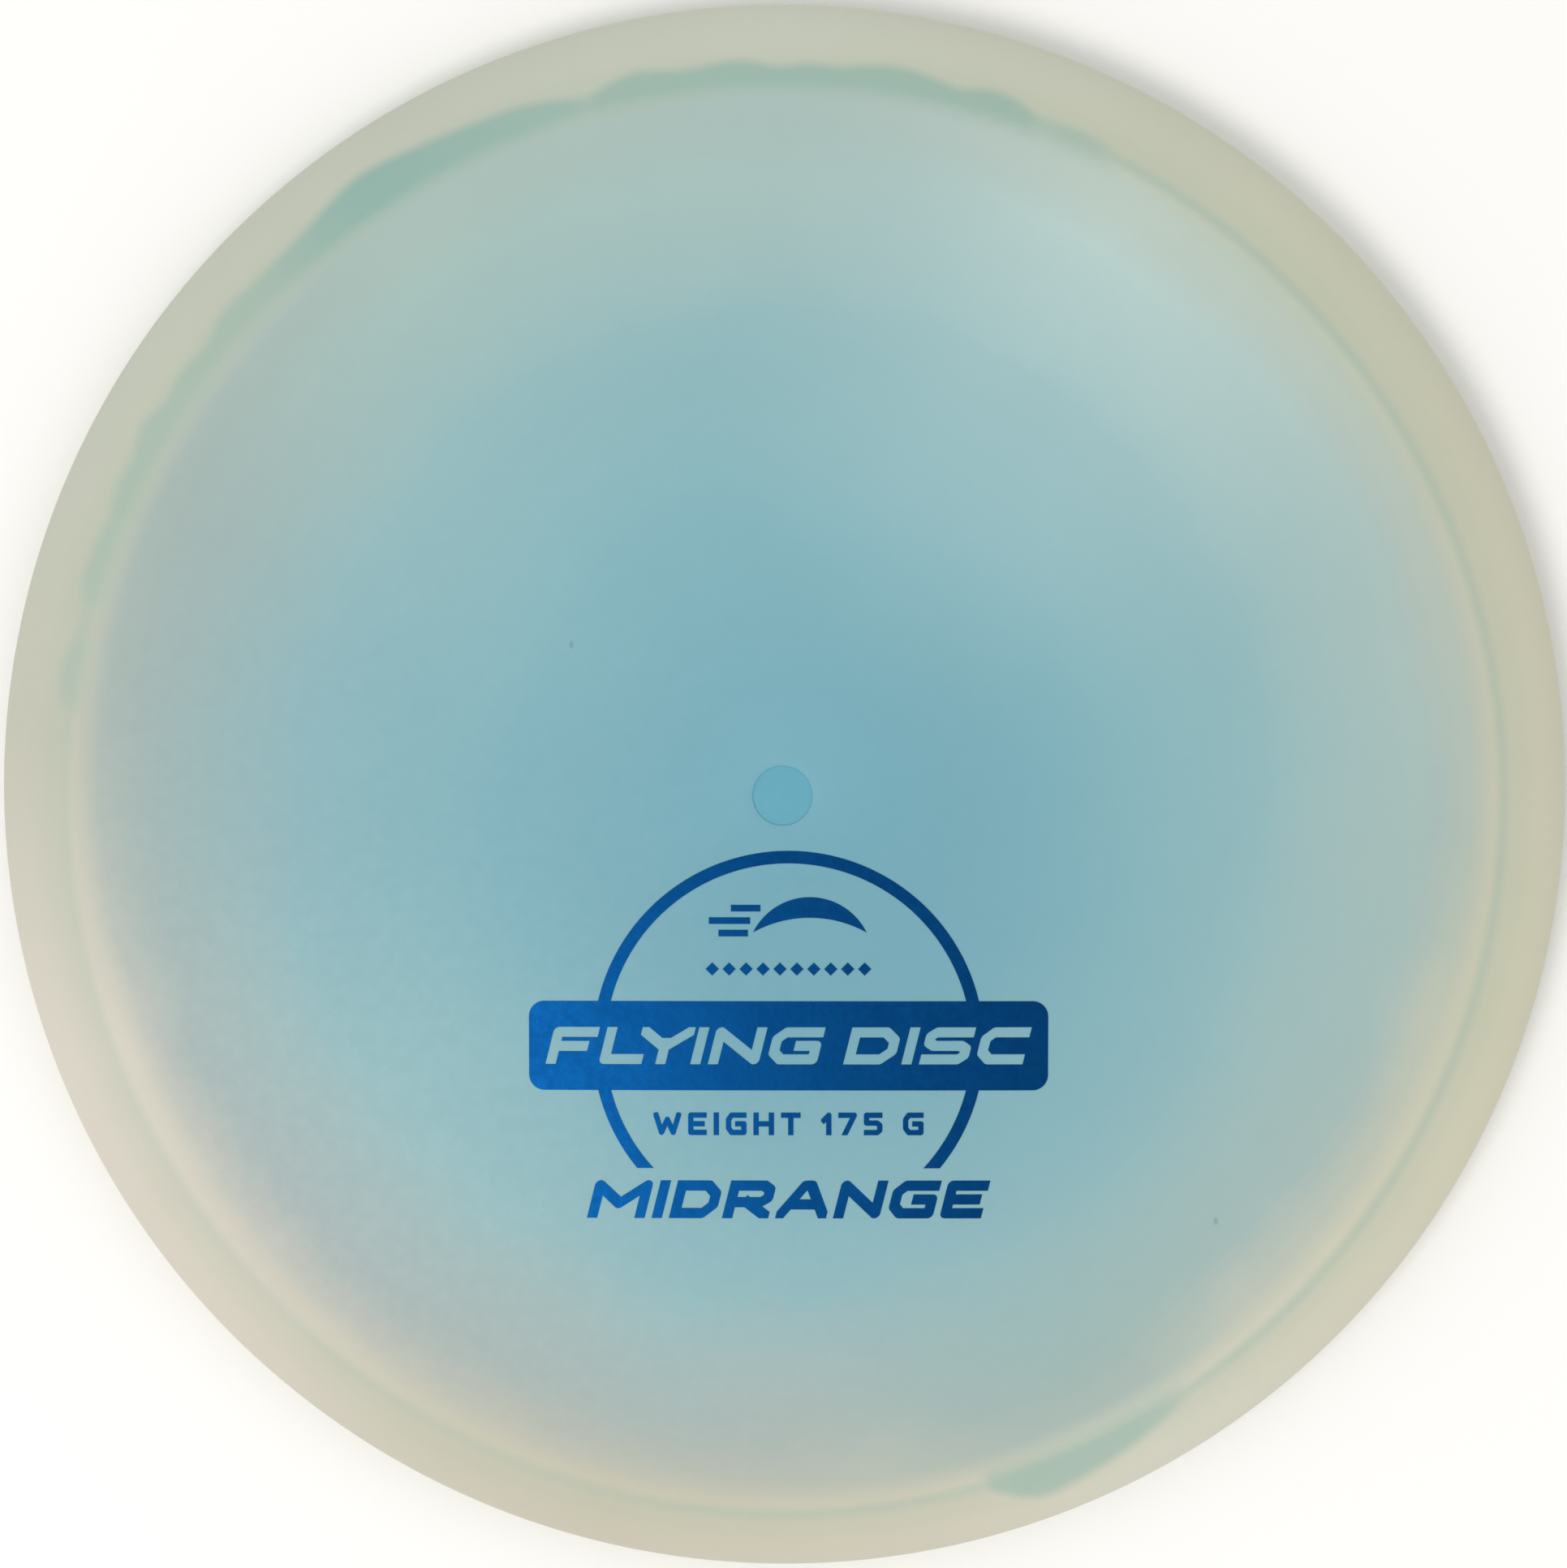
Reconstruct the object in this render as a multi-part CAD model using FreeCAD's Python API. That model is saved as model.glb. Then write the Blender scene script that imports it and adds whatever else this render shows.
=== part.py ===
import FreeCAD, Part
import math
import os

# A golf-style flying disc for lawn play, in millimetres.
# Frame: +Z up, origin on the floor under the middle of the disc, +Y towards the far rim
# when the stamp reads upright. The disc stands on the flat land of its toe.
#
# It is moulded in two shots. The first is a cream shell: the rim and a thin skin over the
# flight plate. The second is a blue liner, injected through a gate in the middle: a layer
# under the skin, a band on the inner wall of the rim and a foot under it. A little of the
# second shot has crept past the joint line, over the underside of the rim. The stamp on the
# top is hot-pressed metallic foil.

V = FreeCAD.Vector
AXIS = V(0, 0, 1)

# ---- outer form ----------------------------------------------------------------------
outer_diameter = 215.0
overall_height = 19.0
nose_height = 6.8         # height of the widest line of the rim
dome_sag = 3.5            # fall of the plate's top from the middle to the shoulder
shoulder_inset = 14.5     # from the outer edge in to the shoulder, where the dome ends
shoulder_reach = 6.0      # how far the dome's line leads on into the shoulder curve
nose_rise = 3.2           # how far the nose runs upright above its widest line
nose_fall = 3.0           # how far it runs upright below it
heel_reach = 2.0          # how far the underside curve leaves the toe level

# ---- rim and plate -------------------------------------------------------------------
rim_width = 12.5          # from the outer edge in to the inner wall
toe_land = 1.6            # flat that the disc stands on
toe_radius = 0.8          # round between the land and the inner wall
plate_thickness = 2.1     # at the middle
shoulder_thickness = 2.5  # at the shoulder
corner_fillet = 2.5       # between the inner wall and the plate

# ---- second shot ---------------------------------------------------------------------
skin_thickness = 1.0      # first shot above the second, over the plate
liner_wall = 1.6          # second shot on the inner wall
foot_width = 3.9          # second shot under the rim, from the inner wall to the joint line
foot_height = 3.0
gate_diameter = 8.0
gate_recess = 0.2         # the gate's end lies this far below the top of the dome
flash_thickness = 0.25
flash_root = 0.6          # how far the flash is rooted in the foot, inside the joint line

# Outline of the flash: bearing in degrees clockwise from +Y, and reach beyond the joint
# line. Every other point ends an arc, and the point between two ends lies on that arc.
far_flash = [
    (275.5, 0.0), (279.6, 2.2), (283.2, 0.6), (284.5, 1.2), (285.8, 0.7), (287.4, 2.8),
    (288.8, 1.0), (290.2, 2.4), (291.8, 0.6), (295.0, 2.6), (297.7, 1.5), (299.5, 3.5),
    (302.0, 1.4), (304.2, 2.6), (307.8, 1.5), (309.2, 2.9), (312.5, 3.1), (317.5, 2.9),
    (321.5, 3.7), (325.3, 4.8), (329.3, 4.0), (333.5, 3.3), (338.0, 3.2), (341.5, 2.2),
    (344.4, 0.8), (348.0, 3.0), (352.2, 1.8), (356.4, 2.8), (359.7, 1.3), (362.1, 2.2),
    (364.5, 1.5), (368.8, 3.0), (374.0, 1.2), (376.9, 2.8), (380.6, 0.8), (384.3, 1.6),
    (389.6, 0.0),
]
near_flash = [
    (143.5, 0.0), (147.0, 1.4), (150.6, 2.8), (154.6, 3.9), (158.6, 4.6), (160.6, 4.4),
    (161.8, 2.9), (163.2, 1.2), (164.8, 0.0),
]

# ---- foil stamp ----------------------------------------------------------------------
foil_thickness = 0.06
stamp_x = 0.8             # middle of the stamp's ring
stamp_y = -34.1
ring_outer_radius = 26.6
ring_width = 1.7
ring_foot_drop = 16.8     # the ring is cut off level, this far below its middle
banner_width = 70.6
banner_height = 12.2
banner_corner = 2.1
banner_cap = 5.1          # height of the letters let into the banner
weight_cap = 3.1
weight_drop = 10.7        # middle of the weight line below the middle of the ring
class_cap = 5.2
class_drop = 21.1         # middle of the class line below the middle of the ring
pictogram_rise = 17.1     # middle of the pictogram above the middle of the ring
pictogram_length = 15.4   # of the disc in it, seen from the side
pictogram_shift = 2.9     # middle of that disc, to the right of the middle of the ring
pictogram_crown = 3.2     # top of that disc above the middle of the pictogram
pictogram_lip = 1.6       # its rim below the middle
pictogram_hollow = 2.0    # rise of its hollow underside above its rim
bar_height = 0.9
bar_gap = 0.7             # from the disc back to the middle bar
bars = [(-1.7, 4.0, 0.0), (0.0, 5.6, 0.3), (1.7, 4.0, 1.7)]  # rise, length, shift forward
diamond_rise = 10.5       # row of diamonds, above the middle of the ring
diamond_count = 10
diamond_pitch = 2.3
diamond_size = 1.8

# ---- worked out ----------------------------------------------------------------------
outer_radius = outer_diameter / 2
wall_radius = outer_radius - rim_width
shoulder_radius = outer_radius - shoulder_inset
shoulder_height = overall_height - dome_sag
joint_radius = wall_radius + foot_width
liner_radius = wall_radius + liner_wall
gate_radius = gate_diameter / 2
clear = 1.0               # how far a cutting shape runs past what it cuts


class Dome:
    """A spherical cap about the axis, from its height there and one point further out."""

    def __init__(self, axis_height, radius, height):
        drop = axis_height - height
        self.top = axis_height
        self.sphere = (radius ** 2 + drop ** 2) / (2 * drop)
        self.centre = axis_height - self.sphere

    def height(self, radius):
        return self.centre + math.sqrt(self.sphere ** 2 - radius ** 2)

    def arc(self, radius_from, radius_to):
        middle = (radius_from + radius_to) / 2
        ends = [V(r, 0, self.height(r)) for r in (radius_from, middle, radius_to)]
        return Part.Arc(*ends).toShape()

    def corner(self, wall, fillet):
        """The fillet between the dome's underside and an upright wall outside it."""
        centre_r = wall - fillet
        centre_z = self.centre + math.sqrt((self.sphere - fillet) ** 2 - centre_r ** 2)
        on_dome = centre_r * self.sphere / (self.sphere - fillet)
        half_turn = math.atan2(centre_z - self.centre, centre_r) / 2
        middle = V(centre_r + fillet * math.cos(half_turn), 0,
                   centre_z + fillet * math.sin(half_turn))
        start = V(on_dome, 0, self.height(on_dome))
        end = V(wall, 0, centre_z)
        return on_dome, centre_z, Part.Arc(start, middle, end).toShape()


def line(*points):
    """Straight edges through points given as (radius, height)."""
    places = [V(r, 0, z) for r, z in points]
    return [Part.makeLine(a, b) for a, b in zip(places, places[1:])]


def curve(*poles):
    bezier = Part.BezierCurve()
    bezier.setPoles([V(r, 0, z) for r, z in poles])
    return bezier.toShape()


def face(edges):
    return Part.Face(Part.Wire(Part.__sortEdges__(edges)))


def one(shape, kind):
    """The single face or solid that a cut or a join should leave."""
    found = getattr(shape, kind)
    if len(found) != 1:
        raise ValueError(f"{len(found)} {kind} where one was expected")
    return found[0]


def turned(section):
    return section.revolve(V(0, 0, 0), AXIS, 360)


top = Dome(overall_height, shoulder_radius, shoulder_height)
seam = Dome(overall_height - skin_thickness, shoulder_radius, shoulder_height - skin_thickness)
ceiling = Dome(overall_height - plate_thickness, shoulder_radius,
               shoulder_height - shoulder_thickness)


# ---- the two shots -------------------------------------------------------------------

def whole_section():
    """Half section of the finished disc, both shots together."""
    slope = shoulder_radius / (shoulder_height - top.centre)
    gate_end = overall_height - gate_recess
    toe_inner = wall_radius + toe_radius
    toe_outer = toe_inner + toe_land
    toe_middle = toe_radius * (1 - math.sqrt(0.5))
    corner_start, corner_end, corner = ceiling.corner(wall_radius, corner_fillet)
    edges = line((0, gate_end), (gate_radius, gate_end), (gate_radius, top.height(gate_radius)))
    edges.append(top.arc(gate_radius, shoulder_radius))
    edges.append(curve((shoulder_radius, shoulder_height),
                       (shoulder_radius + shoulder_reach,
                        shoulder_height - slope * shoulder_reach),
                       (outer_radius, nose_height + nose_rise),
                       (outer_radius, nose_height)))
    edges.append(curve((outer_radius, nose_height),
                       (outer_radius, nose_height - nose_fall),
                       (toe_outer + heel_reach, 0),
                       (toe_outer, 0)))
    edges += line((toe_outer, 0), (toe_inner, 0))
    edges.append(Part.Arc(V(toe_inner, 0, 0), V(wall_radius + toe_middle, 0, toe_middle),
                          V(wall_radius, 0, toe_radius)).toShape())
    edges += line((wall_radius, toe_radius), (wall_radius, corner_end))
    edges.append(corner)
    edges.append(ceiling.arc(corner_start, 0))
    edges += line((0, ceiling.top), (0, gate_end))
    return face(edges)


def second_shot_side():
    """Half section of the room that the second shot may fill."""
    corner_start, corner_end, corner = seam.corner(liner_radius, corner_fillet + liner_wall)
    above = overall_height + clear
    edges = line((0, above), (gate_radius, above), (gate_radius, seam.height(gate_radius)))
    edges.append(seam.arc(gate_radius, corner_start))
    edges.append(corner)
    edges += line((liner_radius, corner_end), (liner_radius, foot_height),
                  (joint_radius, foot_height), (joint_radius, -clear), (0, -clear), (0, above))
    return face(edges)


def at(bearing, radius):
    """A point on the floor, by its bearing clockwise from +Y."""
    angle = math.radians(bearing)
    return V(radius * math.sin(angle), radius * math.cos(angle), 0)


def flash_column(lobes):
    """Upright column with the flash's scalloped outline, to cut with."""
    root = joint_radius - flash_root
    first, last = lobes[0][0], lobes[-1][0]
    edge = [at(bearing, joint_radius + reach) for bearing, reach in lobes]
    scallops = [Part.Arc(*edge[i:i + 3]).toShape() for i in range(0, len(edge) - 2, 2)]
    inner = Part.Arc(at(last, root), at((first + last) / 2, root), at(first, root)).toShape()
    outline = scallops + [Part.makeLine(edge[-1], at(last, root)), inner,
                          Part.makeLine(at(first, root), edge[0])]
    column = Part.Face(Part.Wire(outline)).extrude(V(0, 0, nose_height + clear))
    column.translate(V(0, 0, -clear))
    return column


def flash_room(section):
    """The room that the flash takes from the rim's underside, open below."""
    raised = section.copy()
    raised.translate(V(0, 0, flash_thickness))
    inner = joint_radius - flash_root - clear
    outer = joint_radius + max(reach for bearing, reach in far_flash + near_flash) + clear
    window = face(line((inner, -clear), (outer, -clear), (outer, nose_height),
                       (inner, nose_height), (inner, -clear)))
    return turned(one(window.cut(raised), "Faces"))


def two_shots():
    section = whole_section()
    side = second_shot_side()
    shell = turned(one(section.cut(side), "Faces"))
    liner = turned(one(section.common(side), "Faces"))
    whole = turned(section)
    for lobes in (far_flash, near_flash):
        room = one(flash_room(section).common(flash_column(lobes)), "Solids")
        shell = one(shell.cut(room), "Solids")
        liner = one(liner.fuse(room.common(whole)), "Solids")
    return shell, liner


# ---- foil ----------------------------------------------------------------------------
# Each letter is a few open strokes on a square from (0, 0) to (1, 1), and a width as a share
# of the row's letter width: 0 is one upright stroke. An end outside the square is cut level.
LETTERS = {
    "A": ([[(-0.06, -0.14), (0.42, 1), (0.58, 1), (1.06, -0.14)], [(0.2, 0.32), (0.8, 0.32)]], 1.1),
    "C": ([[(1, 1), (0.2, 1), (0, 0.75), (0, 0.25), (0.2, 0), (1, 0)]], 0.95),
    "D": ([[(0, 0), (0, 1)], [(0, 1), (0.75, 1), (1, 0.7), (1, 0.3), (0.75, 0), (0, 0)]], 1.0),
    "E": ([[(1, 1), (0, 1), (0, 0), (1, 0)], [(0, 0.5), (0.85, 0.5)]], 0.9),
    "F": ([[(0, 0), (0, 1), (1, 1)], [(0, 0.48), (0.8, 0.48)]], 0.9),
    "G": ([[(1, 1), (0.2, 1), (0, 0.75), (0, 0.25), (0.2, 0), (1, 0), (1, 0.5), (0.6, 0.5)]], 1.0),
    "H": ([[(0, 0), (0, 1)], [(1, 0), (1, 1)], [(0, 0.5), (1, 0.5)]], 1.0),
    "I": ([[(0, 0), (0, 1)]], 0),
    "L": ([[(0, 1), (0, 0), (1, 0)]], 0.85),
    "M": ([[(0, 0), (0, 1), (0.5, 0.35), (1, 1), (1, 0)]], 1.25),
    "N": ([[(0, 0), (0, 1), (1, 0), (1, 1)]], 1.0),
    "R": ([[(0, 0), (0, 1)], [(0, 1), (0.82, 1), (1, 0.85), (1, 0.55), (0.82, 0.4), (0, 0.4)],
           [(0.45, 0.4), (1.05, -0.1)]], 1.0),
    "S": ([[(1, 1), (0.15, 1), (0, 0.85), (0, 0.62), (0.15, 0.5), (0.85, 0.5), (1, 0.38),
            (1, 0.15), (0.85, 0), (0, 0)]], 0.95),
    "T": ([[(0, 1), (1, 1)], [(0.5, 1), (0.5, 0)]], 0.95),
    "W": ([[(0, 1), (0.24, 0), (0.5, 0.75), (0.76, 0), (1, 1)]], 1.35),
    "Y": ([[(-0.12, 1.13), (0.5, 0.45), (1.12, 1.13)], [(0.5, 0.6), (0.5, 0)]], 1.05),
    "1": ([[(0, 0.7), (1, 1), (1, 0)]], 0.5),
    "5": ([[(1, 1), (0, 1), (0, 0.55), (0.8, 0.55), (1, 0.42), (1, 0.13), (0.8, 0), (0, 0)]], 0.9),
    "7": ([[(0, 1), (1, 1), (0.29, -0.1)]], 0.9),
}

# Letters set closer than the row's gap, by a share of its letter width.
CLOSER = {"LY": 0.3, "YI": 0.08}


round_step = math.radians(22.5)  # a round corner of a stroke turns this far per flat, or less


def flat_face(points):
    places = [V(x, y, 0) for x, y in points]
    return Part.Face(Part.makePolygon(places + places[:1]))


def slanted(points, slant):
    return [(x + slant * y, y) for x, y in points]


def shifted(points, dx, dy):
    return [(x + dx, y + dy) for x, y in points]


def rectangle(left, bottom, right, high):
    return [(left, bottom), (right, bottom), (right, high), (left, high)]


def stroke(points, half):
    """Outlines that together make one open stroke, with round corners and square ends."""
    headings = [math.atan2(y1 - y0, x1 - x0) for (x0, y0), (x1, y1) in zip(points, points[1:])]
    outlines = []
    for i, heading in enumerate(headings):
        (x0, y0), (x1, y1) = points[i:i + 2]
        ux, uy = half * math.cos(heading), half * math.sin(heading)
        if i == 0:
            x0, y0 = x0 - ux, y0 - uy
        if i == len(headings) - 1:
            x1, y1 = x1 + ux, y1 + uy
        outlines.append([(x0 + uy, y0 - ux), (x1 + uy, y1 - ux),
                         (x1 - uy, y1 + ux), (x0 - uy, y0 + ux)])
    for (x, y), before, after in zip(points[1:-1], headings, headings[1:]):
        turn = math.remainder(after - before, 2 * math.pi)
        first = before - math.copysign(math.pi / 2, turn)
        steps = math.ceil(abs(turn) / round_step)
        fan = sorted(first + turn * i / steps for i in range(steps + 1))
        outlines.append([(x, y)] + [(x + half * math.cos(a), y + half * math.sin(a))
                                    for a in fan])
    return outlines


def lettering(words, cap, letter, gap, word_gap, weight, slant, middle_x, middle_y):
    """Faces for one row of letters, centred on a point."""
    half = weight / 2
    cursor = 0
    letters = []
    for word in words.split():
        for before, name in zip(" " + word, word):
            strokes, share = LETTERS[name]
            width = max(letter * share, weight)
            cursor -= letter * CLOSER.get(before + name, 0)
            letters.append((strokes, cursor, width))
            cursor += width + gap
        cursor += word_gap - gap
    row_width = cursor - word_gap
    left = middle_x - row_width / 2 - slant * cap / 2
    faces = []
    for strokes, start, width in letters:
        def place(points, start=start):
            return shifted(slanted(points, slant), left + start, middle_y - cap / 2)
        pieces = []
        for points in strokes:
            scaled = [(half + x * (width - weight), half + y * (cap - weight)) for x, y in points]
            pieces += [flat_face(place(outline)) for outline in stroke(scaled, half)]
        shape = pieces[0]
        if len(pieces) > 1:
            shape = shape.multiFuse(pieces[1:]).removeSplitter()
        limits = flat_face(place(rectangle(0, 0, width, cap)))
        faces += shape.common(limits).Faces
    return faces


def foil_layer():
    """The room just above the dome that the foil fills."""
    width = stamp_reach()
    lower = top.arc(gate_radius, width)
    upper = lower.copy()
    upper.translate(V(0, 0, foil_thickness))
    ends = [line((r, top.height(r)), (r, top.height(r) + foil_thickness))[0]
            for r in (gate_radius, width)]
    return turned(face([lower, upper] + ends))


def stamp_reach():
    """Radius about the disc's axis that holds the whole stamp."""
    low = abs(stamp_y) + class_drop + class_cap
    return math.hypot(low, banner_width / 2)


def pressed(faces):
    """Foil islands lying on the dome, from their flat outlines."""
    layer = foil_layer()
    islands = []
    for outline in faces:
        column = outline.extrude(V(0, 0, overall_height + clear))
        islands += column.common(layer).Solids
    return Part.makeCompound(islands)


def ring_part(left, bottom, right, high):
    """The stretch of the ring inside a window given from the ring's middle."""
    outer = Part.makeCircle(ring_outer_radius, V(stamp_x, stamp_y, 0))
    inner = Part.makeCircle(ring_outer_radius - ring_width, V(stamp_x, stamp_y, 0))
    band = Part.Face(Part.Wire(outer)).cut(Part.Face(Part.Wire(inner)))
    window = flat_face(shifted(rectangle(left, bottom, right, high), stamp_x, stamp_y))
    return band.common(window).Faces


def rounded_rectangle(left, bottom, right, high, radius):
    block = Part.makeBox(right - left, high - bottom, clear, V(left, bottom, -clear))
    upright = [edge for edge in block.Edges
               if abs(edge.Vertexes[0].Z - edge.Vertexes[1].Z) > clear / 2]
    rounded = block.makeFillet(radius, upright)
    return next(side for side in rounded.Faces if side.BoundBox.ZMin > -clear / 2)


def badge():
    """The ring and the banner across it, with the banner's letters left bare."""
    half_width = banner_width / 2
    half_height = banner_height / 2
    banner = rounded_rectangle(stamp_x - half_width, stamp_y - half_height,
                               stamp_x + half_width, stamp_y + half_height, banner_corner)
    reach = ring_outer_radius + clear
    ring = ring_part(-reach, 0, reach, reach) + ring_part(-reach, -ring_foot_drop, reach, 0)
    whole = banner.multiFuse(ring).removeSplitter()
    letters = lettering("FLYING DISC", banner_cap, letter=6.9, gap=1.0, word_gap=3.6,
                        weight=1.4, slant=0.25, middle_x=stamp_x, middle_y=stamp_y)
    return whole.cut(Part.makeCompound(letters)).Faces


def pictogram():
    """A disc seen from the side, with three bars that trail behind it."""
    middle_y = stamp_y + pictogram_rise
    rim = middle_y - pictogram_lip
    front = stamp_x + pictogram_length / 2 + pictogram_shift
    back = front - pictogram_length
    tips = [V(back, rim, 0), V(front, rim, 0)]
    middle_x = (front + back) / 2
    over = Part.Arc(tips[0], V(middle_x, middle_y + pictogram_crown, 0), tips[1]).toShape()
    under = Part.Arc(tips[1], V(middle_x, rim + pictogram_hollow, 0), tips[0]).toShape()
    faces = [Part.Face(Part.Wire([over, under]))]
    for rise, length, shift in bars:
        right = back - bar_gap + shift
        low = middle_y + rise - bar_height / 2
        faces.append(flat_face(rectangle(right - length, low, right, low + bar_height)))
    return faces


def diamonds():
    half = diamond_size / 2
    first = stamp_x - diamond_pitch * (diamond_count - 1) / 2
    outline = [(-half, 0), (0, -half), (half, 0), (0, half)]
    return [flat_face(shifted(outline, first + diamond_pitch * i, stamp_y + diamond_rise))
            for i in range(diamond_count)]


def weight_line():
    return lettering("WEIGHT 175 G", weight_cap, letter=2.8, gap=0.95, word_gap=2.8,
                     weight=0.72, slant=0.0, middle_x=stamp_x, middle_y=stamp_y - weight_drop)


def class_line():
    return lettering("MIDRANGE", class_cap, letter=6.3, gap=0.95, word_gap=0.95,
                     weight=1.4, slant=0.25, middle_x=stamp_x, middle_y=stamp_y - class_drop)


def stamp():
    return {
        "stamp_badge": pressed(badge()),
        "stamp_pictogram": pressed(pictogram()),
        "stamp_diamond_row": pressed(diamonds()),
        "stamp_weight_line": pressed(weight_line()),
        "stamp_class_line": pressed(class_line()),
    }


def main():
    shell, liner = two_shots()
    nodes = {"top_shell": shell, "grip_liner": liner}
    nodes.update(stamp())
    os.makedirs("parts", exist_ok=True)
    for name, shape in nodes.items():
        if not shape.isValid():
            raise ValueError(f"{name} is not a valid shape")
        shape.exportStep(f"parts/{name}.step")
        box = shape.BoundBox
        print(f"{name}: {len(shape.Solids)} solids, {shape.Volume:.1f} mm3, "
              f"z {box.ZMin:.2f} to {box.ZMax:.2f}")


main()
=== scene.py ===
import math

import bmesh
import bpy
import numpy as np
from mathutils import Matrix, Vector
from mathutils.bvhtree import BVHTree


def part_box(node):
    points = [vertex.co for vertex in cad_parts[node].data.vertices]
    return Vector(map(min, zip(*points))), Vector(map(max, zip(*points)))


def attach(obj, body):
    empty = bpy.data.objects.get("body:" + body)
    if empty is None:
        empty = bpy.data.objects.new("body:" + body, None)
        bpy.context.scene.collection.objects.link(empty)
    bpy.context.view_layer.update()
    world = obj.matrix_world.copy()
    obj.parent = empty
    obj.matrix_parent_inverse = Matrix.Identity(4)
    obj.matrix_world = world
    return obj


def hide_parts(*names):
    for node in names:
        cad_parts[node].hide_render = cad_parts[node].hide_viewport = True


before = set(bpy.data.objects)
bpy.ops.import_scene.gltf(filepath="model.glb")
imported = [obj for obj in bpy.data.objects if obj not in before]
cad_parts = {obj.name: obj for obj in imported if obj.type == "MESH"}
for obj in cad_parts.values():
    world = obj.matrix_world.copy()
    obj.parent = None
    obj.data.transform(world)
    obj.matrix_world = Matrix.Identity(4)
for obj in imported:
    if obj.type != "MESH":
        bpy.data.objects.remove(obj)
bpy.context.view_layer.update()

# A golf-style flying disc of two shots: a cream, cloudy first shot and a blue second shot
# that shows through it, with a metallic foil stamp. Lengths are in millimetres up to the
# point where a mesh is made, and in metres after it. Bearings run clockwise from +Y.

MM = 0.001

# ---- sizes of the section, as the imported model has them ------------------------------
outer_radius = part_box("top_shell")[1].x / MM
gate_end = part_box("grip_liner")[1].z / MM     # top of the gate mark in the middle
gate_recess = 0.2
overall_height = gate_end + gate_recess
nose_height = 6.8
dome_sag = 3.5
shoulder_inset = 14.5
shoulder_reach = 6.0
nose_rise = 3.2
nose_fall = 3.0
heel_reach = 2.0
rim_width = 12.5
toe_land = 1.6
toe_radius = 0.8
plate_thickness = 2.1
shoulder_thickness = 2.5
corner_fillet = 2.5
skin_thickness = 1.0
liner_wall = 1.6
foot_width = 3.9
foot_height = 3.0
gate_radius = 4.0
flash_thickness = 0.25
flash_limit = 5.6         # no flash reaches further than this beyond the joint line

wall_radius = outer_radius - rim_width
joint_radius = wall_radius + foot_width
liner_radius = wall_radius + liner_wall
shoulder_radius = outer_radius - shoulder_inset
shoulder_height = overall_height - dome_sag

segments = 500            # round the disc
edge_tolerance = 0.02     # how closely the flash's edge is found
seen_shift = 1.1          # how much nearer what lies under the skin is seen than it is
full_turn = 360.0


# ---- section -------------------------------------------------------------------------

class Dome:
    """A spherical cap about the axis, from its height there and one point further out."""

    def __init__(self, axis_height, radius, height):
        drop = axis_height - height
        self.sphere = (radius ** 2 + drop ** 2) / (2 * drop)
        self.centre = axis_height - self.sphere

    def height(self, radius):
        return self.centre + math.sqrt(self.sphere ** 2 - radius ** 2)

    def run(self, start, end, steps):
        """Points along the cap, the first one left out."""
        radii = [start + (end - start) * i / steps for i in range(1, steps + 1)]
        return [(r, self.height(r)) for r in radii]

    def corner(self, wall, fillet, steps):
        """Points round the fillet from the cap down to an upright wall outside it."""
        centre_r = wall - fillet
        centre_z = self.centre + math.sqrt((self.sphere - fillet) ** 2 - centre_r ** 2)
        start = math.atan2(centre_z - self.centre, centre_r)
        turns = [start * (1 - i / steps) for i in range(steps + 1)]
        return [(centre_r + fillet * math.cos(a), centre_z + fillet * math.sin(a))
                for a in turns]


def curve(poles, steps):
    """Points along a cubic with four poles, the first one left out."""
    points = []
    for i in range(1, steps + 1):
        t = i / steps
        weights = ((1 - t) ** 3, 3 * t * (1 - t) ** 2, 3 * t * t * (1 - t), t ** 3)
        points.append(tuple(sum(w * pole[k] for w, pole in zip(weights, poles)) for k in (0, 1)))
    return points


def straight(start, end, steps):
    return [tuple(start[k] + (end[k] - start[k]) * i / steps for k in (0, 1))
            for i in range(1, steps + 1)]


top = Dome(overall_height, shoulder_radius, shoulder_height)
seam = Dome(overall_height - skin_thickness, shoulder_radius, shoulder_height - skin_thickness)
ceiling = Dome(overall_height - plate_thickness, shoulder_radius,
               shoulder_height - shoulder_thickness)
toe_inner = wall_radius + toe_radius
toe_outer = toe_inner + toe_land

slope = shoulder_radius / (shoulder_height - top.centre)
shoulder_curve = curve([(shoulder_radius, shoulder_height),
                        (shoulder_radius + shoulder_reach,
                         shoulder_height - slope * shoulder_reach),
                        (outer_radius, nose_height + nose_rise),
                        (outer_radius, nose_height)], 36)
under_curve = curve([(outer_radius, nose_height), (outer_radius, nose_height - nose_fall),
                     (toe_outer + heel_reach, 0), (toe_outer, 0)], 60)
under_by_radius = np.array(sorted(under_curve))


def under_height(radius):
    """Height of the rim's underside."""
    return np.interp(radius, under_by_radius[:, 0], under_by_radius[:, 1])


# ---- flash ---------------------------------------------------------------------------

def smoothed(values, times=1):
    """The values round the ring, each blended with its neighbours."""
    for _ in range(times):
        values = (np.roll(values, 1) + 2 * values + np.roll(values, -1)) / 4
    return values


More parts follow.
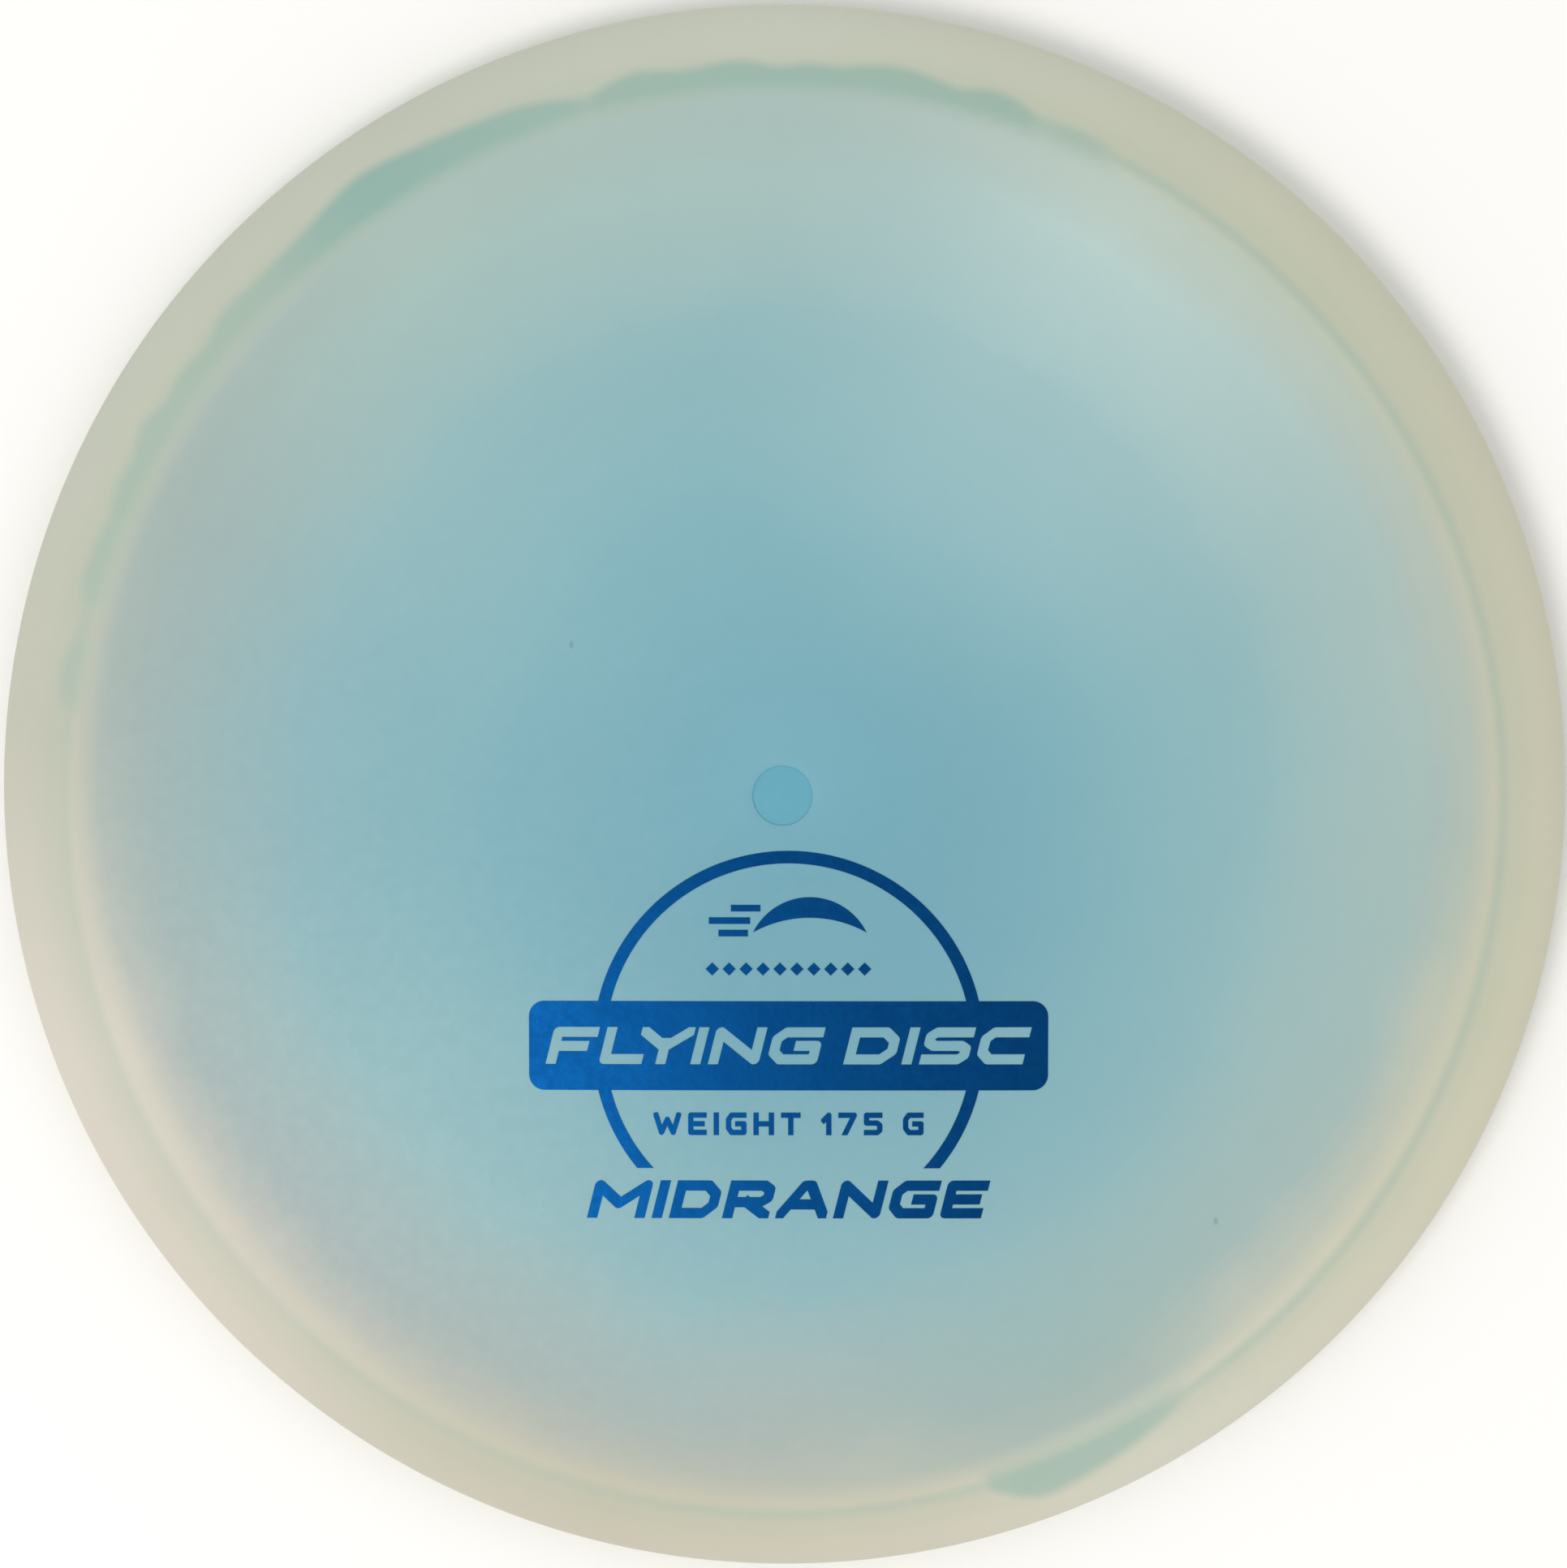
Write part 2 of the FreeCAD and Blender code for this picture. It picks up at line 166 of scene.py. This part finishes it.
def flash_edge():
    """Radius at which the flash ends under the rim, for each segment, found on the frame."""
    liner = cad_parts["grip_liner"].data
    tree = BVHTree.FromPolygons([v.co for v in liner.vertices],
                                [p.vertices for p in liner.polygons])
    below = -5 * MM
    reach = 15 * MM
    edge = []
    for i in range(segments):
        angle = 2 * math.pi * i / segments
        ray = Vector((math.cos(angle), math.sin(angle), 0))
        low, high = joint_radius, joint_radius + flash_limit
        while high - low > edge_tolerance:
            middle = (low + high) / 2
            start = ray * middle * MM + Vector((0, 0, below))
            hit = tree.ray_cast(start, Vector((0, 0, 1)), reach)[0]
            if hit is None:
                high = middle
            else:
                low = middle
        edge.append(max(low, joint_radius + edge_tolerance))
    return smoothed(np.array(edge))


edge_radius = flash_edge()


# ---- the two mouldings ---------------------------------------------------------------

def ring(radius, height):
    """One ring of the lathe: a radius and a height for each segment."""
    return (np.broadcast_to(radius, segments), np.broadcast_to(height, segments))


def flash_rings(steps, raise_by):
    """Rings across the flash, from its edge in to the joint line."""
    rings = []
    for i in range(steps + 1):
        radius = edge_radius + (joint_radius - edge_radius) * i / steps
        rings.append(ring(radius, under_height(radius) + raise_by))
    return rings


def bare_rings(steps):
    """Rings of the rim's underside, from the furthest that flash may reach in to its edge."""
    limit = joint_radius + flash_limit
    rings = []
    for i in range(1, steps + 1):
        radius = limit + (edge_radius - limit) * i / steps
        rings.append(ring(radius, under_height(radius)))
    return rings


def gate_round(steps):
    """The small round between the dome and the gate's recess."""
    size = 0.95 * gate_recess
    turns = [math.pi / 2 * i / steps for i in range(steps + 1)]
    high = top.height(gate_radius + size)
    return [(gate_radius + size * (1 - math.cos(a)), high - size * (1 - math.sin(a)))
            for a in turns]


def shell_rings():
    seam_corner = seam.corner(liner_radius, corner_fillet + liner_wall, 10)
    points = [(gate_radius, seam.height(gate_radius)), (gate_radius, gate_end)]
    points += gate_round(5)
    points += top.run(points[-1][0], shoulder_radius, 60)
    points += shoulder_curve
    points += [p for p in under_curve if p[0] > joint_radius + flash_limit + 0.1]
    rings = [ring(*p) for p in points]
    rings += bare_rings(10)
    rings += flash_rings(8, flash_thickness)
    points = [(joint_radius, foot_height), (liner_radius, foot_height)]
    points += straight(points[-1], seam_corner[-1], 6)[:-1]
    points += seam_corner[::-1]
    points += seam.run(seam_corner[0][0], gate_radius, 30)[:-1]
    return rings + [ring(*p) for p in points]


def liner_rings():
    ceiling_corner = ceiling.corner(wall_radius, corner_fillet, 12)
    seam_corner = seam.corner(liner_radius, corner_fillet + liner_wall, 10)
    points = [(r, gate_end) for r in (0.6, 1.8, 3.0, gate_radius)]
    points += [(gate_radius, seam.height(gate_radius))]
    points += seam.run(gate_radius, seam_corner[0][0], 30)[:-1]
    points += seam_corner
    points += straight(seam_corner[-1], (liner_radius, foot_height), 6)
    points += [(joint_radius, foot_height)]
    rings = [ring(*p) for p in points]
    rings += flash_rings(8, flash_thickness)[::-1]
    rings += flash_rings(8, 0)
    heel = [p for p in under_curve if p[0] < joint_radius - edge_tolerance]
    points = heel + straight((toe_outer, 0), (toe_inner, 0), 2)
    turns = [math.pi / 2 * i / 8 for i in range(1, 9)]
    points += [(toe_inner - toe_radius * math.sin(a), toe_radius * (1 - math.cos(a)))
               for a in turns]
    points += straight(points[-1], ceiling_corner[-1], 10)[:-1]
    points += ceiling_corner[::-1]
    points += ceiling.run(ceiling_corner[0][0], 0.6, 50)
    return rings + [ring(*p) for p in points]


def lathe(name, rings, closed):
    """A mesh round the axis. closed joins the last ring to the first; otherwise both ends
    are closed by a point on the axis."""
    turns = 2 * np.pi * np.arange(segments) / segments
    places = [np.stack([r * np.cos(turns), r * np.sin(turns), z], axis=1) for r, z in rings]
    vertices = np.concatenate(places) * MM
    count = len(rings)
    around = np.arange(segments)
    after = (around + 1) % segments
    faces = []
    for i in range(count if closed else count - 1):
        a = i * segments
        b = (i + 1) % count * segments
        faces += np.stack([a + around, a + after, b + after, b + around], axis=1).tolist()
    if not closed:
        ends = [(0, 0, rings[i][1][0] * MM) for i in (0, -1)]
        vertices = np.concatenate([vertices, ends])
        first, last = count * segments, count * segments + 1
        a = (count - 1) * segments
        faces += [[first, j, i] for i, j in zip(around.tolist(), after.tolist())]
        faces += [[last, a + i, a + j] for i, j in zip(around.tolist(), after.tolist())]
    mesh = bpy.data.meshes.new(name)
    mesh.from_pydata(vertices.tolist(), [], faces)
    tidy = bmesh.new()
    tidy.from_mesh(mesh)
    bmesh.ops.recalc_face_normals(tidy, faces=tidy.faces)
    tidy.to_mesh(mesh)
    tidy.free()
    mesh.shade_smooth()
    mesh.set_sharp_from_angle(angle=math.radians(40))
    piece = bpy.data.objects.new(name, mesh)
    bpy.context.scene.collection.objects.link(piece)
    return piece


def mark_reach(piece, count):
    """Stores, on every vertex, how far out the flash shows at its bearing, in millimetres."""
    reach = np.zeros(len(piece.data.vertices), dtype=np.float32)
    reach[:count * segments] = np.tile(smoothed(edge_radius, 2), count)
    layer = piece.data.attributes.new("flash_edge", "FLOAT", "POINT")
    layer.data.foreach_set("value", reach)


def make_shell():
    rings = shell_rings()
    piece = lathe("cream_shell_moulding", rings, closed=True)
    mark_reach(piece, len(rings))
    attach(piece, "root")
    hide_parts("top_shell")
    return piece


def make_liner():
    rings = liner_rings()
    piece = lathe("blue_liner_moulding", rings, closed=False)
    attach(piece, "root")
    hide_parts("grip_liner")
    return piece


# ---- materials -----------------------------------------------------------------------

studio_gain = 1.03        # how much brighter than its base colour a matt surface shows
sheen = 0.03              # what the gloss adds on top of that


def colour(red, green, blue):
    """A shader colour from display values of 0 to 255."""
    def linear(v):
        v /= 255
        return v / 12.92 if v <= 0.04045 else ((v + 0.055) / 1.055) ** 2.4
    return (linear(red), linear(green), linear(blue), 1)


def shown(red, green, blue):
    """The base colour that shows as these display values in the studio's light."""
    base = [max((v - sheen) / studio_gain, 0) for v in colour(red, green, blue)[:3]]
    return (*base, 1)


class Graph:
    """Short calls for building a material's nodes."""

    def __init__(self, name):
        self.material = bpy.data.materials.new(name)
        self.material.use_nodes = True
        self.tree = self.material.node_tree
        self.shader = self.tree.nodes["Principled BSDF"]

    def node(self, kind, **settings):
        made = self.tree.nodes.new(kind)
        for key, value in settings.items():
            setattr(made, key, value)
        return made

    def plug(self, source, socket):
        if isinstance(source, (int, float, tuple)):
            socket.default_value = source
        else:
            self.tree.links.new(source, socket)

    def math(self, operation, a, b=0.0):
        made = self.node("ShaderNodeMath", operation=operation)
        self.plug(a, made.inputs[0])
        self.plug(b, made.inputs[1])
        return made.outputs[0]

    def add(self, a, b):
        return self.math("ADD", a, b)

    def less(self, a, b):
        return self.math("SUBTRACT", a, b)

    def times(self, a, b):
        return self.math("MULTIPLY", a, b)

    def length(self, x, y):
        return self.math("SQRT", self.add(self.times(x, x), self.times(y, y)))

    def smooth(self, value, start, end, low=0.0, high=1.0):
        """A smooth step from low at start to high at end."""
        made = self.node("ShaderNodeMapRange", interpolation_type="SMOOTHSTEP")
        for socket, source in zip(made.inputs, (value, start, end, low, high)):
            self.plug(source, socket)
        return made.outputs[0]

    def bell(self, value, middle, half_width):
        """1 at middle, falling to 0 at half_width either side."""
        away = self.math("ABSOLUTE", self.less(value, middle))
        return self.smooth(away, 0.0, half_width, 1.0, 0.0)

    def mix(self, amount, a, b, blend="MIX"):
        """From colour a to colour b. The node's colour sockets are inputs 6, 7 and output 2."""
        made = self.node("ShaderNodeMix", data_type="RGBA", blend_type=blend)
        self.plug(amount, made.inputs["Factor"])
        self.plug(a, made.inputs[6])
        self.plug(b, made.inputs[7])
        return made.outputs[2]

    def stops(self, value, shades, full_scale):
        """A colour ramp over value; shades are (position, shader colour)."""
        made = self.node("ShaderNodeValToRGB")
        elements = made.color_ramp.elements
        while len(elements) < len(shades):
            elements.new(0.5)
        for element, (position, shade) in zip(elements, shades):
            element.position = position / full_scale
            element.color = shade
        self.plug(self.math("DIVIDE", value, full_scale), made.inputs[0])
        return made.outputs[0]

    def ramp(self, value, stops, full_scale):
        """Colours by position; stops are (position, display colour)."""
        return self.stops(value, [(place, shown(*shade)) for place, shade in stops], full_scale)

    def level(self, value, stops, full_scale):
        """Plain numbers from 0 to 1 by position."""
        return self.stops(value, [(place, (n, n, n, 1)) for place, n in stops], full_scale)

    def noise(self, vector, scale, detail=2.0, roughness=0.5):
        """Noise about 0, between -0.5 and 0.5."""
        made = self.node("ShaderNodeTexNoise")
        self.plug(vector, made.inputs["Vector"])
        made.inputs["Scale"].default_value = scale
        made.inputs["Detail"].default_value = detail
        made.inputs["Roughness"].default_value = roughness
        return self.less(made.outputs["Fac"], 0.5)

    def combine(self, x, y, z):
        made = self.node("ShaderNodeCombineXYZ")
        for socket, source in zip(made.inputs, (x, y, z)):
            self.plug(source, socket)
        return made.outputs[0]

    def bump(self, height, strength, distance):
        made = self.node("ShaderNodeBump")
        made.inputs["Strength"].default_value = strength
        made.inputs["Distance"].default_value = distance
        self.plug(height, made.inputs["Height"])
        return made.outputs[0]

    def place(self):
        """Position on the disc in millimetres: the vector, x and y."""
        coords = self.node("ShaderNodeTexCoord").outputs["Object"]
        scaled = self.node("ShaderNodeVectorMath", operation="SCALE")
        self.plug(coords, scaled.inputs[0])
        scaled.inputs["Scale"].default_value = 1 / MM
        vector = scaled.outputs[0]
        apart = self.node("ShaderNodeSeparateXYZ")
        self.plug(vector, apart.inputs[0])
        return vector, apart.outputs[0], apart.outputs[1]

    def bearing(self, x, y):
        """Degrees clockwise from +Y, 0 to 360."""
        turns = self.math("DIVIDE", self.math("ARCTAN2", x, y), 2 * math.pi)
        return self.times(self.math("FRACT", self.add(turns, 1.0)), full_turn)

    def finish(self, **settings):
        """Sets constant shader values by socket name."""
        for key, value in settings.items():
            self.shader.inputs[key.replace("_", " ")].default_value = value
        return self.material


# Display colours. The blue shows through the skin most round the gate: by radius in mm.
plate_by_radius = [
    (0, (125, 180, 194)), (14, (122, 175, 188)), (26, (125, 175, 186)), (36, (128, 177, 188)),
    (44, (134, 180, 189)), (52, (138, 182, 189)), (62, (142, 183, 189)), (70, (146, 185, 190)),
]
# How far the plate's outer colour has taken over from that, by radius in mm.
outer_share = [(61, 0), (67, 0.08), (71, 0.36), (76, 0.6), (86, 1)]
# The plate's outer part and the rim, by bearing in degrees: tone that varies round the disc, with
# painted light in both, a painted highlight on the plate round bearing 30 and the rim brightest
# towards the lower left.
outer_tone_and_painted_highlight_by_bearing = [
    (0, (167, 193, 190)), (10, (169, 195, 193)), (30, (182, 207, 204)), (50, (176, 200, 197)),
    (72, (169, 193, 190)), (100, (164, 189, 186)), (130, (161, 185, 183)),
    (155, (157, 182, 179)), (180, (165, 180, 177)), (205, (163, 178, 176)),
    (235, (163, 179, 179)), (270, (159, 179, 177)), (295, (157, 179, 178)),
    (325, (166, 192, 187)), (360, (167, 193, 190)),
]
# Partly painted light: the rim is drawn brightest towards the lower left, on the key lamp's side.
rim_tone_and_painted_light_by_bearing = [
    (0, (201, 206, 191)), (45, (202, 205, 184)), (75, (205, 204, 183)), (105, (207, 206, 183)),
    (120, (211, 209, 187)), (150, (211, 211, 196)), (165, (207, 204, 186)),
    (195, (199, 195, 177)), (212, (201, 198, 182)), (228, (210, 205, 192)),
    (250, (214, 209, 197)), (275, (196, 197, 183)), (300, (194, 199, 184)),
    (330, (194, 200, 186)), (360, (201, 206, 191)),
]
# How much cream shows over the plate next to the rim, by bearing.
haze_by_bearing = [
    (0, 0.1), (30, 0.35), (50, 0.45), (70, 0.4), (92, 0.4), (105, 0.6), (138, 0.62),
    (148, 0.25), (163, 0.25), (175, 0.45), (190, 0.5), (205, 0.6), (250, 0.6), (268, 0.35),
    (290, 0.18), (320, 0.1), (360, 0.1),
]
# Where the ridge inside the joint begins, by bearing: this share of 5 mm inside 95 mm. The ridge
# is the rim's own cream taking over, drawn as a lighter band, a painted highlight, and it starts
# further in towards the lower left.
ridge_by_bearing = [
    (0, 0.06), (20, 0.05), (40, 0.1), (60, 0.18), (75, 0.26), (90, 0.36), (110, 0.34),
    (130, 0.44), (150, 0.38), (170, 0.38), (185, 0.45), (200, 0.5), (230, 0.54), (250, 0.66),
    (268, 0.5), (285, 0.4), (310, 0.3), (330, 0.1), (350, 0.15), (360, 0.06),
]
# How strongly the liner's flash shows, by bearing.
flash_by_bearing = [
    (0, 0.66), (18, 0.62), (32, 0.3), (143, 0.3), (151, 0.56), (160, 0.58), (165, 0.5),
    (272, 0.25), (292, 0.38), (314, 0.46), (321, 0.72), (326, 0.85), (334, 0.74), (346, 0.62),
    (360, 0.66),
]
# Places where the blue lies deeper, and a painted highlight, a soft patch drawn paler towards the
# upper right: middle, how far it reaches, and how strongly.
deep_places = [(8, -24, 62, 0.4), (-58, 2, 42, 0.2)]
painted_highlight_places = [(36, 52, 48, 0.16)]
scuffs = [(-28.6, 20.4), (59.1, -58.3)]
deep_shade = (96, 152, 174)
painted_highlight_shade = (205, 228, 228)
scuff_shade = (90, 120, 130)
joint_shade = (168, 186, 165)
flash_shade = (139, 180, 172)
gate_shade = (112, 170, 187)
# Painted shade: how much darker the plate is drawn in a valley just inside the rim.
painted_valley_shade = (0.97, 0.93, 0.92, 1)


def spot(g, x, y, place):
    """How strongly one of those places shows."""
    middle_x, middle_y, reach, strength = place
    away = g.length(g.less(x, middle_x), g.less(y, middle_y))
    return g.smooth(away, reach * 0.1, reach, strength, 0.0)


def plate_paint(g, x, y, radius, bearing, streaks):
    """Colour of the flight plate, with painted highlights in it."""
    wandering = g.noise(g.combine(x, y, 0.0), scale=0.02, detail=3.0, roughness=0.5)
    middle = g.ramp(g.add(radius, g.times(wandering, 22.0)), plate_by_radius, 70.0)
    # Partly painted highlight: the outer part is drawn brightest round bearing 30.
    outer = g.ramp(bearing, outer_tone_and_painted_highlight_by_bearing, full_turn)
    wandered = g.add(radius, g.add(g.times(streaks, 7.0), g.times(wandering, 12.0)))
    plate = g.mix(g.level(wandered, outer_share, 100.0), middle, outer)
    for place in deep_places:
        plate = g.mix(spot(g, x, y, place), plate, shown(*deep_shade))
    # Painted highlight: a soft patch drawn paler on the plate.
    for place in painted_highlight_places:
        plate = g.mix(spot(g, x, y, place), plate, shown(*painted_highlight_shade))
    return plate


def rim_paint(g, radius, bearing):
    """Colour of the rim, with painted light brighter towards the lower left, duller just outside
    the joint, and of the ridge inside it, painted lighter as a highlight.
    """
    rim = g.ramp(bearing, rim_tone_and_painted_light_by_bearing, full_turn)
    outside = g.smooth(radius, 98.5, 104.5, 0.26, 0.0)
    # Painted highlight: the joint's tint eases off inwards from 98.4 mm, so the ridge shows
    # lighter.
    inside = g.smooth(radius, 96.6, 98.4, 0.4, 1.0)
    return g.mix(g.times(outside, inside), rim, shown(*joint_shade))


def cream_over_plate(g, radius, bearing, streaks):
    """Share of the rim's colour: a haze over the plate's edge, then all of it at the ridge, a
    band drawn lighter as a painted highlight.
    """
    haze = g.level(bearing, haze_by_bearing, full_turn)
    streaky_haze = g.times(haze, g.add(g.times(streaks, 0.6), 1.0))
    haze_start = g.less(85.0, g.times(streaks, 12.0))
    over = g.times(g.smooth(radius, haze_start, 95.5), streaky_haze)
    # Painted highlight: the ridge band, where the cream takes over, begins further in towards the
    # lower left.
    further_in = g.level(bearing, ridge_by_bearing, full_turn)
    ridge_start = g.less(95.0, g.times(further_in, 5.0))
    ridge = g.smooth(radius, ridge_start, g.add(ridge_start, 4.8))
    return g.add(over, g.times(g.less(1.0, over), ridge))


def blue_behind(g, x, radius, bearing, streaks):
    """How much of the liner's flash and foot shows through the rim."""
    edge = g.node("ShaderNodeAttribute", attribute_name="flash_edge").outputs["Fac"]
    outside = g.less(radius, g.add(edge, g.times(streaks, 1.0)))
    there = g.smooth(g.less(edge, joint_radius), 0.1, 1.8)
    flash = g.times(there, g.smooth(outside, -2.0, 0.1, 1.0, 0.0))
    flash = g.times(flash, g.smooth(radius, 94.8, 98.2))
    flash = g.times(flash, g.level(bearing, flash_by_bearing, full_turn))
    joint_strength = g.smooth(x, -70, 50, 0.08, 0.26)
    joint = g.times(g.bell(radius, joint_radius - 0.8, 1.5), joint_strength)
    return g.math("MAXIMUM", flash, joint)


def scuffed(g, x, y, base):
    """The base colour with the small dark scuffs, longer along the disc's Y."""
    for mark_x, mark_y in scuffs:
        away = g.length(g.less(x, mark_x), g.times(g.less(y, mark_y), 0.6))
        base = g.mix(g.smooth(away, 0.1, 0.45, 0.4, 0.0), base, shown(*scuff_shade))
    return base


def clouded(g, vector, round_place, base):
    """The base colour with cloudiness, grain and fine lines that run outwards."""
    cloud = g.times(g.noise(vector, scale=0.06, detail=4.0, roughness=0.6), 0.05)
    grain = g.times(g.noise(vector, scale=3.4, detail=2.0, roughness=0.7), 0.05)
    lines = g.times(g.noise(round_place, scale=60.0, detail=2.0, roughness=0.5), 0.02)
    shade = g.add(g.add(cloud, grain), g.add(lines, 1.0))
    return g.mix(1.0, base, g.combine(shade, shade, shade), "MULTIPLY")


def shell_material():
    g = Graph("cloudy_cream_plastic")
    vector, x, y = g.place()
    seen_y = g.add(y, seen_shift)
    radius = g.length(x, seen_y)
    bearing = g.bearing(x, seen_y)

    # The shots ran outwards, which left streaks: noise that changes quickly round the disc.
    round_place = g.combine(g.math("DIVIDE", x, radius), g.math("DIVIDE", seen_y, radius),
                            g.math("DIVIDE", radius, 90.0))
    broad = g.noise(round_place, scale=3.2, detail=2.0, roughness=0.55)
    narrow = g.noise(round_place, scale=17.0, detail=2.0, roughness=0.5)
    streaks = g.add(broad, g.times(narrow, 0.2))

    base = plate_paint(g, x, y, radius, bearing, streaks)
    cream = cream_over_plate(g, radius, bearing, streaks)
    base = g.mix(cream, base, rim_paint(g, radius, bearing))
    # Painted shade: a band round 92 mm is drawn darker, standing for shade in a valley between
    # plate and rim.
    valley = g.times(g.bell(radius, 92.0, 7.0), 0.45)
    base = g.mix(valley, base, painted_valley_shade, "MULTIPLY")
    base = g.mix(blue_behind(g, x, radius, bearing, streaks), base, shown(*flash_shade))
    near_gate = g.smooth(g.length(x, y), gate_radius, gate_radius + 0.9, 0.8, 0.0)
    base = g.mix(near_gate, base, shown(*gate_shade))
    base = clouded(g, vector, round_place, scuffed(g, x, y, base))
    g.plug(base, g.shader.inputs["Base Color"])

    dimples = g.noise(vector, scale=1.6, detail=3.0, roughness=0.55)
    g.plug(g.bump(dimples, strength=0.04, distance=0.0001), g.shader.inputs["Normal"])
    wear = g.noise(vector, scale=0.5, detail=4.0, roughness=0.6)
    g.plug(g.smooth(wear, -0.2, 0.2, 0.46, 0.54), g.shader.inputs["Roughness"])
    return g.finish(IOR=1.5)


def liner_material():
    """Blue plastic with faint turning marks from the mould, outside the gate."""
    g = Graph("blue_grip_plastic")
    vector, x, y = g.place()
    radius = g.length(x, y)
    cloud = g.smooth(g.noise(vector, scale=0.05, detail=3.0, roughness=0.6), -0.2, 0.2)
    base = g.mix(cloud, shown(93, 164, 185), shown(102, 171, 190))
    g.plug(base, g.shader.inputs["Base Color"])
    turning = g.times(g.math("SINE", g.times(radius, 9.0)), g.smooth(radius, 5.0, 9.0, 0.0, 0.25))
    height = g.add(turning, g.noise(vector, scale=2.2, detail=3.0, roughness=0.6))
    g.plug(g.bump(height, strength=0.25, distance=0.0001), g.shader.inputs["Normal"])
    return g.finish(Roughness=0.5, IOR=1.5)


def foil_material():
    g = Graph("blue_hot_foil")
    vector = g.place()[0]
    height = g.noise(vector, scale=0.7, detail=3.0, roughness=0.6)
    g.plug(g.bump(height, strength=0.1, distance=0.0001), g.shader.inputs["Normal"])
    wear = g.noise(vector, scale=0.8, detail=3.0, roughness=0.6)
    g.plug(g.smooth(wear, -0.2, 0.2, 0.25, 0.32), g.shader.inputs["Roughness"])
    cloud = g.add(g.noise(vector, scale=0.15, detail=2.0), 0.5)
    g.plug(g.mix(cloud, colour(4, 53, 101), colour(6, 61, 111)), g.shader.inputs["Base Color"])
    return g.finish(Metallic=1.0)


def dress(piece, material):
    piece.data.materials.clear()
    piece.data.materials.append(material)


# ---- studio --------------------------------------------------------------------------

def make_floor():
    half = 3.0
    mesh = bpy.data.meshes.new("studio_floor")
    corners = [(-half, -half, 0), (half, -half, 0), (half, half, 0), (-half, half, 0)]
    mesh.from_pydata(corners, [], [(0, 1, 2, 3)])
    floor = bpy.data.objects.new("studio_floor", mesh)
    bpy.context.scene.collection.objects.link(floor)
    g = Graph("pale_studio_floor")
    g.finish(Base_Color=colour(248, 248, 247), Roughness=0.9)
    dress(floor, g.material)


def make_light(name, bearing, elevation, distance, size, power, tint):
    """A round soft lamp that points at the origin. Angles in degrees, lengths in metres."""
    lamp = bpy.data.lights.new(name, "AREA")
    lamp.shape = "DISK"
    lamp.size = size
    lamp.energy = power
    lamp.color = tint
    holder = bpy.data.objects.new(name, lamp)
    a, e = math.radians(bearing), math.radians(elevation)
    away = Vector((math.sin(a) * math.cos(e), math.cos(a) * math.cos(e), math.sin(e)))
    holder.location = away * distance
    holder.rotation_euler = away.to_track_quat("Z", "Y").to_euler()
    bpy.context.scene.collection.objects.link(holder)


def make_world():
    world = bpy.data.worlds.new("soft_studio")
    world.use_nodes = True
    background = world.node_tree.nodes["Background"]
    background.inputs["Color"].default_value = (1.0, 0.995, 0.985, 1)
    background.inputs["Strength"].default_value = 0.8
    bpy.context.scene.world = world


def make_camera():
    """Almost straight above, leaning a little towards the far side and to the right."""
    distance = 0.75
    aim_far = 0.88 * MM
    lean_far = math.radians(3.28)
    lean_right = math.radians(0.63)
    data = bpy.data.cameras.new("camera")
    data.sensor_width = 36
    data.lens = 125.05
    data.clip_start = 0.05
    data.clip_end = 20
    camera = bpy.data.objects.new("camera", data)
    aim = Vector((0.0, aim_far, nose_height * MM))
    away = Vector((math.sin(lean_right), math.sin(lean_far), 1)).normalized()
    right = Vector((0, 1, 0)).cross(away).normalized()
    turn = Matrix((right, away.cross(right), away)).transposed()
    camera.matrix_world = Matrix.Translation(aim + away * distance) @ turn.to_4x4()
    bpy.context.scene.collection.objects.link(camera)
    bpy.context.scene.camera = camera


def main():
    dress(make_shell(), shell_material())
    dress(make_liner(), liner_material())
    foil = foil_material()
    for name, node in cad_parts.items():
        if name.startswith("stamp_"):
            dress(node, foil)
    make_floor()
    make_world()
    make_light("key", bearing=228, elevation=66, distance=1.6, size=0.8, power=8.5,
               tint=(1.0, 0.96, 0.92))
    make_camera()
    bpy.context.scene.view_settings.view_transform = "Standard"


main()
